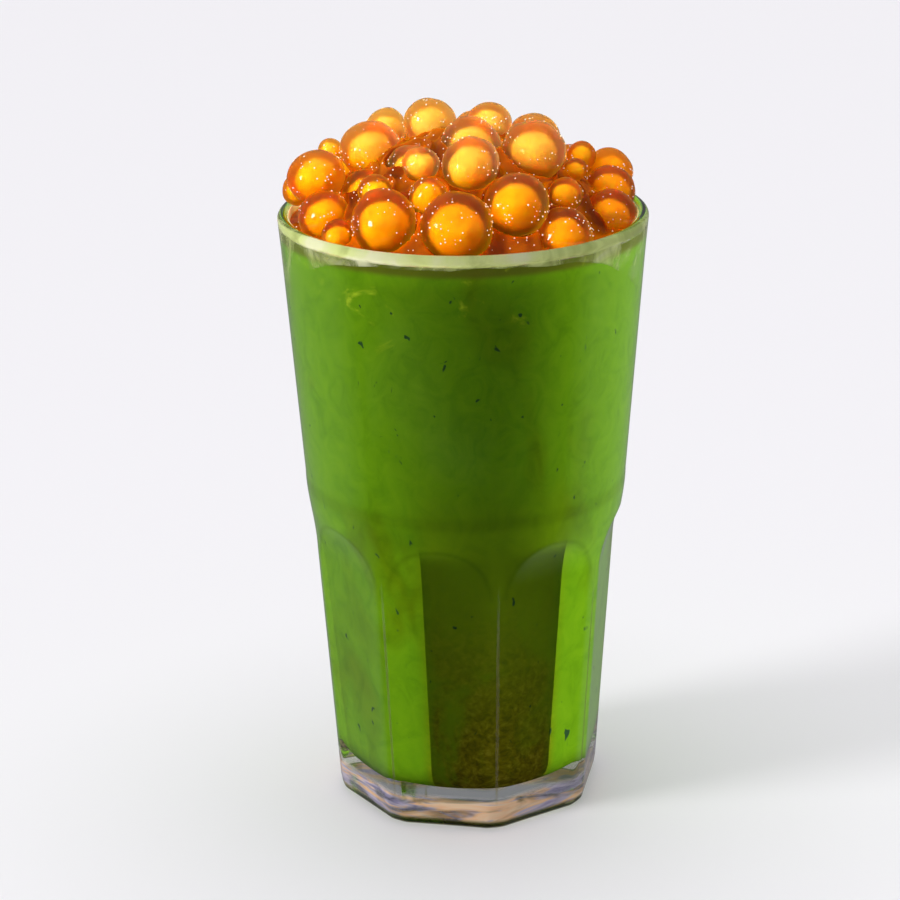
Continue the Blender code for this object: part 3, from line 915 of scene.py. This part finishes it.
seats = seated_pearls()
print("pearls:", len(seats), "radii (mm):", round(min(r for _, r in seats) / MM, 1), "to",
      round(max(r for _, r in seats) / MM, 1))

# %% [markdown]
# ## The pearls
#
# A cooked tapioca pearl is a soft, not quite round ball: a clear amber skin around a cloudy
# yellow heart. Each could be modelled by hand, but there are dozens and no two are alike. One
# tree sets a ball on each seat, turns it, makes it a little oval and lets a slow noise dent it.
# The hearts come from the same tree, at two thirds of the size and a little lower.

# %% The tree that sets the pearls
setting, given, out = new_tree("Pearls on their seats", [
    ("Size", "Float"), ("Fineness", "Int"), ("Dents", "Float"), ("Dent scale", "Float"),
    ("Finish", "Material")])


def seat_field(name, kind):
    return add(setting, "GeometryNodeInputNamedAttribute", {"Name": name},
               data_type=kind).outputs["Attribute"]


ball = add(setting, "GeometryNodeMeshIcoSphere",
           {"Radius": 1.0, "Subdivisions": given["Fineness"]}).outputs["Mesh"]
numbered = add(setting, "GeometryNodeStoreNamedAttribute",
               {"Geometry": given["Geometry"], "Name": "pearl",
                "Value": add(setting, "GeometryNodeInputIndex").outputs[0]},
               data_type="INT", domain="POINT").outputs[0]
size = add(setting, "ShaderNodeVectorMath", [seat_field("oval", "FLOAT_VECTOR")],
           operation="SCALE")
setting.links.new(reckon(setting, "MULTIPLY", seat_field("radius", "FLOAT"), given["Size"]),
                  size.inputs["Scale"])
turn = add(setting, "FunctionNodeEulerToRotation",
           [seat_field("turn", "FLOAT_VECTOR")]).outputs[0]
set_out = add(setting, "GeometryNodeInstanceOnPoints",
              {"Points": numbered, "Instance": ball, "Rotation": turn,
               "Scale": size.outputs[0]}).outputs[0]
real = add(setting, "GeometryNodeRealizeInstances", [set_out]).outputs[0]
slow = add(setting, "ShaderNodeTexNoise",
           {"Vector": add(setting, "GeometryNodeInputPosition").outputs[0],
            "Scale": given["Dent scale"], "Detail": 1.0}).outputs["Fac"]
push = add(setting, "ShaderNodeVectorMath", [add(setting, "GeometryNodeInputNormal").outputs[0]],
           operation="SCALE")
setting.links.new(reckon(setting, "MULTIPLY", reckon(setting, "SUBTRACT", slow, 0.5),
                         given["Dents"]), push.inputs["Scale"])
dented = add(setting, "GeometryNodeSetPosition",
             {"Geometry": real, "Offset": push.outputs[0]}).outputs[0]
smooth = add(setting, "GeometryNodeSetShadeSmooth", [dented]).outputs[0]
setting.links.new(add(setting, "GeometryNodeSetMaterial",
                      {"Geometry": smooth, "Material": given["Finish"]}).outputs[0], out)


# %% Seats as points with a radius, an oval and a turn
def seat_points(sunk=0.0):
    """One point for each pearl, lowered by a part of its radius."""
    mesh = bpy.data.meshes.new("Seats")
    mesh.from_pydata([(c.x, c.y, c.z - sunk * r) for c, r in seats], [], [])
    rng = random.Random(PEARL_SEED + 1)
    ovals, turns = [], []
    for _ in seats:
        ovals += [rng.uniform(0.94, 1.04), rng.uniform(0.94, 1.02), rng.uniform(0.89, 1.0)]
        turns += [rng.uniform(-0.5, 0.5), rng.uniform(-0.5, 0.5), rng.uniform(0, 6.28)]
    mesh.attributes.new("radius", "FLOAT", "POINT").data.foreach_set("value", [r for _, r in seats])
    mesh.attributes.new("oval", "FLOAT_VECTOR", "POINT").data.foreach_set("vector", ovals)
    mesh.attributes.new("turn", "FLOAT_VECTOR", "POINT").data.foreach_set("vector", turns)
    return mesh


# %% [markdown]
# ## Finish of the pearls
#
# The skin is clear but cloudy, and wet. Clean refraction made it look like a glass bead with a
# dark rim, so it bends light only a little and very roughly, which blurs the heart, and a smooth
# coat on top keeps the highlights sharp. Light loses its blue and then its green on the way
# through, so that thick parts turn orange and brown. Low parts are painted a deeper orange and
# brown too, as painted shade, and high parts paler, as painted light. The heart is a warm yellow
# cloud, with painted light making it paler towards the top of the heap.

# %% Skin
skin_finish, tree, shader = new_finish("Amber pearl skin")
# Painted shade and light: the skin is deeper orange low in the heap and paler high up.
up = between(tree, object_place(tree)["Z"], 148.0 * MM, 170.0 * MM)
amber = ramp(tree, up, (0.0, (0.70, 0.22, 0.0)), (0.60, (0.76, 0.33, 0.001)),
             (1.0, (0.82, 0.55, 0.13)))
set_shader(tree, shader, {
    "Base Color": amber, "Transmission Weight": 0.93, "IOR": 1.10, "Specular IOR Level": 0.0,
    "Roughness": between(tree, spread(tree, 160.0, 2.0), 0.3, 0.7, 0.62, 0.72),
    "Subsurface Weight": 0.9, "Subsurface Radius": (1.0, 0.45, 0.08), "Subsurface Scale": 0.006,
    "Coat Weight": 0.45, "Coat Roughness": 0.03})
relief(tree, shader, spread(tree, 500.0, 2.0), 0.0001, 0.25)
depth = add(tree, "ShaderNodeVolumeAbsorption",
            {"Color": (0.96, 0.61, 0.03, 1.0), "Density": 170.0}).outputs[0]
plug(tree, tree.nodes["Material Output"].inputs["Volume"], depth)

# %% Heart
heart_finish, tree, shader = new_finish("Cloudy pearl heart")
veins = spread(tree, 350.0, 3.0, 0.6)
warm = ramp(tree, veins, (0.30, (0.90, 0.58, 0.01)), (0.50, (1.0, 0.86, 0.03)),
            (0.70, (1.0, 1.0, 0.16)))
pale = ramp(tree, veins, (0.30, (1.0, 0.62, 0.16)), (0.60, (1.0, 0.80, 0.36)))
# Painted light: the heart turns paler towards the top of the heap.
up = between(tree, object_place(tree)["Z"], 150.0 * MM, 170.0 * MM)
set_shader(tree, shader, {
    "Base Color": blended(tree, up, warm, pale), "Roughness": 0.6, "Subsurface Weight": 0.8,
    "Subsurface Radius": (1.0, 0.5, 0.15), "Subsurface Scale": 0.003})

# %% Skins and hearts
skins = made_by(setting, seat_points(), "Pearl_skins", {
    "Size": 1.0, "Fineness": 4, "Dents": 1.3 * MM, "Dent scale": 140.0, "Finish": skin_finish})
# The hearts sit a little low: real hearts are off-centre, and low down their yellow also stands in
# for the light that the clear skin gathers at its lower side.
hearts = made_by(setting, seat_points(0.10), "Pearl_hearts", {
    "Size": 0.69, "Fineness": 3, "Dents": 1.4 * MM, "Dent scale": 300.0, "Finish": heart_finish})

# %% [markdown]
# ## Pearls that touch
#
# Soft balls in a heap flatten against each other. A soft-body simulation would do that slowly.
# Instead, where two skins would cross, the plane through their common circle is found, and each
# skin is drawn back to its own side of it.


# %% Flatten the skins where they meet
def points_of(obj):
    """The mesh's points as an array of rows."""
    flat = np.empty(len(obj.data.vertices) * 3)
    obj.data.vertices.foreach_get("co", flat)
    return flat.reshape(-1, 3)


def owners_of(obj):
    """Number of the pearl that each point belongs to."""
    owners = np.empty(len(obj.data.vertices), dtype=np.int32)
    obj.data.attributes["pearl"].data.foreach_get("value", owners)
    return owners


NEAR_ENOUGH = 1.06
LIP_CLEARANCE, LIP_REACHES = 0.15 * MM, 0.3 * MM


def flatten_contacts(obj, gap):
    """Draw each skin back from its neighbours, and from the wall below the lip."""
    spots, owners = points_of(obj), owners_of(obj)
    centres = np.array([tuple(c) for c, _ in seats])
    radii = np.array([r for _, r in seats])
    touching = 0
    for i, centre in enumerate(centres):
        own = owners == i
        for j, other in enumerate(centres):
            apart = np.linalg.norm(other - centre)
            if i == j or apart > NEAR_ENOUGH * (radii[i] + radii[j]):
                continue
            along = (other - centre) / apart
            plane = (apart ** 2 + radii[i] ** 2 - radii[j] ** 2) / (2 * apart) - gap / 2
            beyond = (spots[own] - centre) @ along - plane
            spots[own] -= np.maximum(beyond, 0.0)[:, None] * along
            touching += 1
    far = np.hypot(spots[:, 0], spots[:, 1])
    inside_mouth = (MOUTH_RADIUS - LIP_CLEARANCE) / np.maximum(far, 1e-6)
    low = (spots[:, 2] < HEIGHT + LIP_REACHES) & (inside_mouth < 1.0)
    spots[low, :2] *= inside_mouth[low, None]
    obj.data.vertices.foreach_set("co", spots.ravel())
    obj.data.update()
    print("pearls that touch:", touching // 2)


flatten_contacts(skins, 0.04 * MM)
for piece in (skins, hearts):
    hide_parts("pearls")
    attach(piece, "root")
skins.visible_shadow = False

# %% [markdown]
# ## Syrup between the pearls
#
# Syrup of brown sugar fills the gaps. Its dark red-brown is the syrup's own colour, and it is also
# painted shade between the pearls, whose skins cast no shadow. Its surface is a height over the
# mouth: a dome a little lower than the pearls' centres, which climbs each pearl where it wets it
# and is cupped under it. A liquid simulation would take minutes for the same. Here it is a disc of
# rings and spokes, and numpy works out the height of each of its points.

# %% Height of the syrup
SYRUP_RINGS = 150
SYRUP_SPOKES = 300
SYRUP_RADIUS = mouth_radius(DRINK_LEVEL) - 0.12 * MM
SYRUP_EDGE = DRINK_LEVEL + 0.7 * MM
SYRUP_FLAT_FROM = 36.0 * MM
CLIMB, CLIMB_REACH = 2.0 * MM, 1.0 * MM
RIPPLE = 0.25 * MM
SYRUP_BED = DRINK_LEVEL - 0.05 * MM


def syrup_heights(x, y):
    """Height of the syrup over each point, cupped where a pearl sits in it."""
    far = np.hypot(x, y)
    level = np.maximum(mound_height(far) - SYRUP_DEPTH, SYRUP_EDGE)
    level += RIPPLE * np.sin(x * 900 + 1.0) * np.sin(y * 1100 + 0.4)
    near_wall = np.clip((far - SYRUP_FLAT_FROM) / (SYRUP_RADIUS - SYRUP_FLAT_FROM), 0.0, 1.0)
    level = level * (1 - near_wall) + SYRUP_EDGE * near_wall
    climb = np.zeros_like(level)
    for centre, radius in seats:
        off = np.sqrt((x - centre.x) ** 2 + (y - centre.y) ** 2 + (level - centre.z) ** 2) - radius
        climb = np.maximum(climb, CLIMB * np.exp(-np.abs(off) / CLIMB_REACH) * (1 - near_wall))
    level = level + climb
    for centre, radius in seats:
        flat = (x - centre.x) ** 2 + (y - centre.y) ** 2
        half = np.sqrt(np.maximum((radius - 0.12 * MM) ** 2 - flat, 0.0))
        inside_pearl = (half > 0) & (np.abs(level - centre.z) < half)
        level = np.where(inside_pearl, centre.z - half, level)
    return np.maximum(level, DRINK_LEVEL + 0.1 * MM)


# %% Disc of syrup
def syrup_disc():
    """Closed disc of rings and spokes, with a flat bed under it."""
    spokes = np.linspace(0, 2 * math.pi, SYRUP_SPOKES, endpoint=False)
    rings = SYRUP_RADIUS * np.arange(1, SYRUP_RINGS + 1) / SYRUP_RINGS
    x = (rings[:, None] * np.cos(spokes)).ravel()
    y = (rings[:, None] * np.sin(spokes)).ravel()
    z = syrup_heights(x, y)
    middle = syrup_heights(np.zeros(1), np.zeros(1))
    top = np.stack([x, y, z], 1)
    rim = top[-SYRUP_SPOKES:].copy()
    rim[:, 2] = SYRUP_BED
    verts = np.concatenate([[[0, 0, middle[0]]], top, rim, [[0, 0, SYRUP_BED]]])
    faces = []
    n = SYRUP_SPOKES
    for k in range(n):
        nxt = (k + 1) % n
        faces.append((0, 1 + k, 1 + nxt))
        for ring in range(SYRUP_RINGS):
            a, b = 1 + ring * n, 1 + (ring + 1) * n
            faces.append((a + k, b + k, b + nxt, a + nxt))
        last = 1 + SYRUP_RINGS * n
        faces.append((last + k, len(verts) - 1, last + nxt))
    mesh = bpy.data.meshes.new("Syrup")
    mesh.from_pydata(verts.tolist(), [], faces)
    return link(bpy.data.objects.new("Syrup", mesh))


# %% Finish of the syrup, and the piece itself
syrup_and_gap_shade_finish, tree, shader = new_finish("Brown-sugar syrup, dark as gap shade")
# The syrup's own dark red-brown, which is also painted shade in the gaps between the pearls.
set_shader(tree, shader, {
    "Base Color": ramp(tree, spread(tree, 130.0, 2.0), (0.35, (0.15, 0.022, 0.0002)),
                       (0.65, (0.42, 0.095, 0.0004))),
    "Roughness": 0.12, "Specular IOR Level": 0.0, "Coat Weight": 0.4, "Coat Roughness": 0.03,
    "Subsurface Weight": 0.4, "Subsurface Radius": (1.0, 0.25, 0.05), "Subsurface Scale": 0.004})
relief(tree, shader, spread(tree, 350.0, 3.0), 0.0003, 0.5)

syrup = facing_out(syrup_disc())
syrup.data.materials.append(syrup_and_gap_shade_finish)
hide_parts("pearls")
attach(syrup, "root")
print("syrup faces:", len(syrup.data.polygons))

# %% [markdown]
# ## Painted glints of tiny bubbles
#
# The syrup sticks to the pearls with hundreds of bubbles no bigger than a grain of sand. A
# pattern in the finish would lie flat and catch no light. So very small balls of a bright white
# finish are scattered over the skins, most of them on the flanks, and over the syrup, from fixed
# seeds, and sit half sunk. Their white is a painted glint: real bubbles are clear and only catch
# the light.

# %% The tree that scatters them
scattering, given, out = new_tree("Tiny bubble glints", [
    ("Per square metre", "Float"), ("Smallest", "Float"), ("Largest", "Float"), ("Seed", "Int"),
    ("Finish", "Material")])
normal = add(scattering, "GeometryNodeInputNormal").outputs[0]
upward = add(scattering, "ShaderNodeSeparateXYZ", [normal]).outputs["Z"]
clusters = add(scattering, "ShaderNodeTexNoise",
               {"Vector": add(scattering, "GeometryNodeInputPosition").outputs[0],
                "Scale": 220.0, "Detail": 1.0}).outputs["Fac"]
flanks = add(scattering, "ShaderNodeMapRange",
             {"Value": upward, "From Min": 0.95, "From Max": 0.30, "To Min": 0.15, "To Max": 1.0})
share = add(scattering, "ShaderNodeMapRange",
            {"Value": clusters, "From Min": 0.40, "From Max": 0.62}).outputs["Result"]
density = reckon(scattering, "MULTIPLY", given["Per square metre"],
                 reckon(scattering, "MULTIPLY", share, flanks.outputs["Result"]))
spots = add(scattering, "GeometryNodeDistributePointsOnFaces",
            {"Mesh": given["Geometry"], "Density": density, "Seed": given["Seed"],
             "Selection": add(scattering, "FunctionNodeCompare", {"A": upward, "B": -0.35},
                              data_type="FLOAT", operation="GREATER_THAN").outputs[0]})
grain = add(scattering, "FunctionNodeRandomValue",
            {"Min": given["Smallest"], "Max": given["Largest"], "Seed": given["Seed"]},
            data_type="FLOAT")
for socket, label in ((grain.inputs[2], "Smallest"), (grain.inputs[3], "Largest")):
    scattering.links.new(given[label], socket)
dot = add(scattering, "GeometryNodeMeshIcoSphere", {"Radius": 1.0, "Subdivisions": 2})
dots = add(scattering, "GeometryNodeInstanceOnPoints",
           {"Points": spots.outputs["Points"], "Instance": dot.outputs["Mesh"],
            "Scale": grain.outputs[1]}).outputs[0]
real = add(scattering, "GeometryNodeRealizeInstances", [dots]).outputs[0]
smooth = add(scattering, "GeometryNodeSetShadeSmooth", [real]).outputs[0]
scattering.links.new(add(scattering, "GeometryNodeSetMaterial",
                         {"Geometry": smooth, "Material": given["Finish"]}).outputs[0], out)

# %% Scatter them
# Painted highlight: a bright white finish stands in for the glints of clear bubbles.
painted_glint_finish = plain_material("Painted bubble glint", (1.0, 0.93, 0.80), 0.08)
skin_bubble_glints = made_by(scattering, skins.data.copy(), "Painted_glints_on_pearls", {
    "Per square metre": 400000.0, "Smallest": 0.07 * MM, "Largest": 0.23 * MM, "Seed": 5,
    "Finish": painted_glint_finish})
syrup_bubble_glints = made_by(scattering, syrup.data.copy(), "Painted_glints_in_syrup", {
    "Per square metre": 320000.0, "Smallest": 0.09 * MM, "Largest": 0.22 * MM, "Seed": 9,
    "Finish": painted_glint_finish})
on_the_heap = bpy.data.collections.new("On the heap")
for piece in (skins, hearts, syrup, skin_bubble_glints, syrup_bubble_glints):
    on_the_heap.objects.link(piece)
for heap_light in (for_pearls, window):
    heap_light.light_linking.receiver_collection = on_the_heap
for piece in (skin_bubble_glints, syrup_bubble_glints):
    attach(piece, "root")
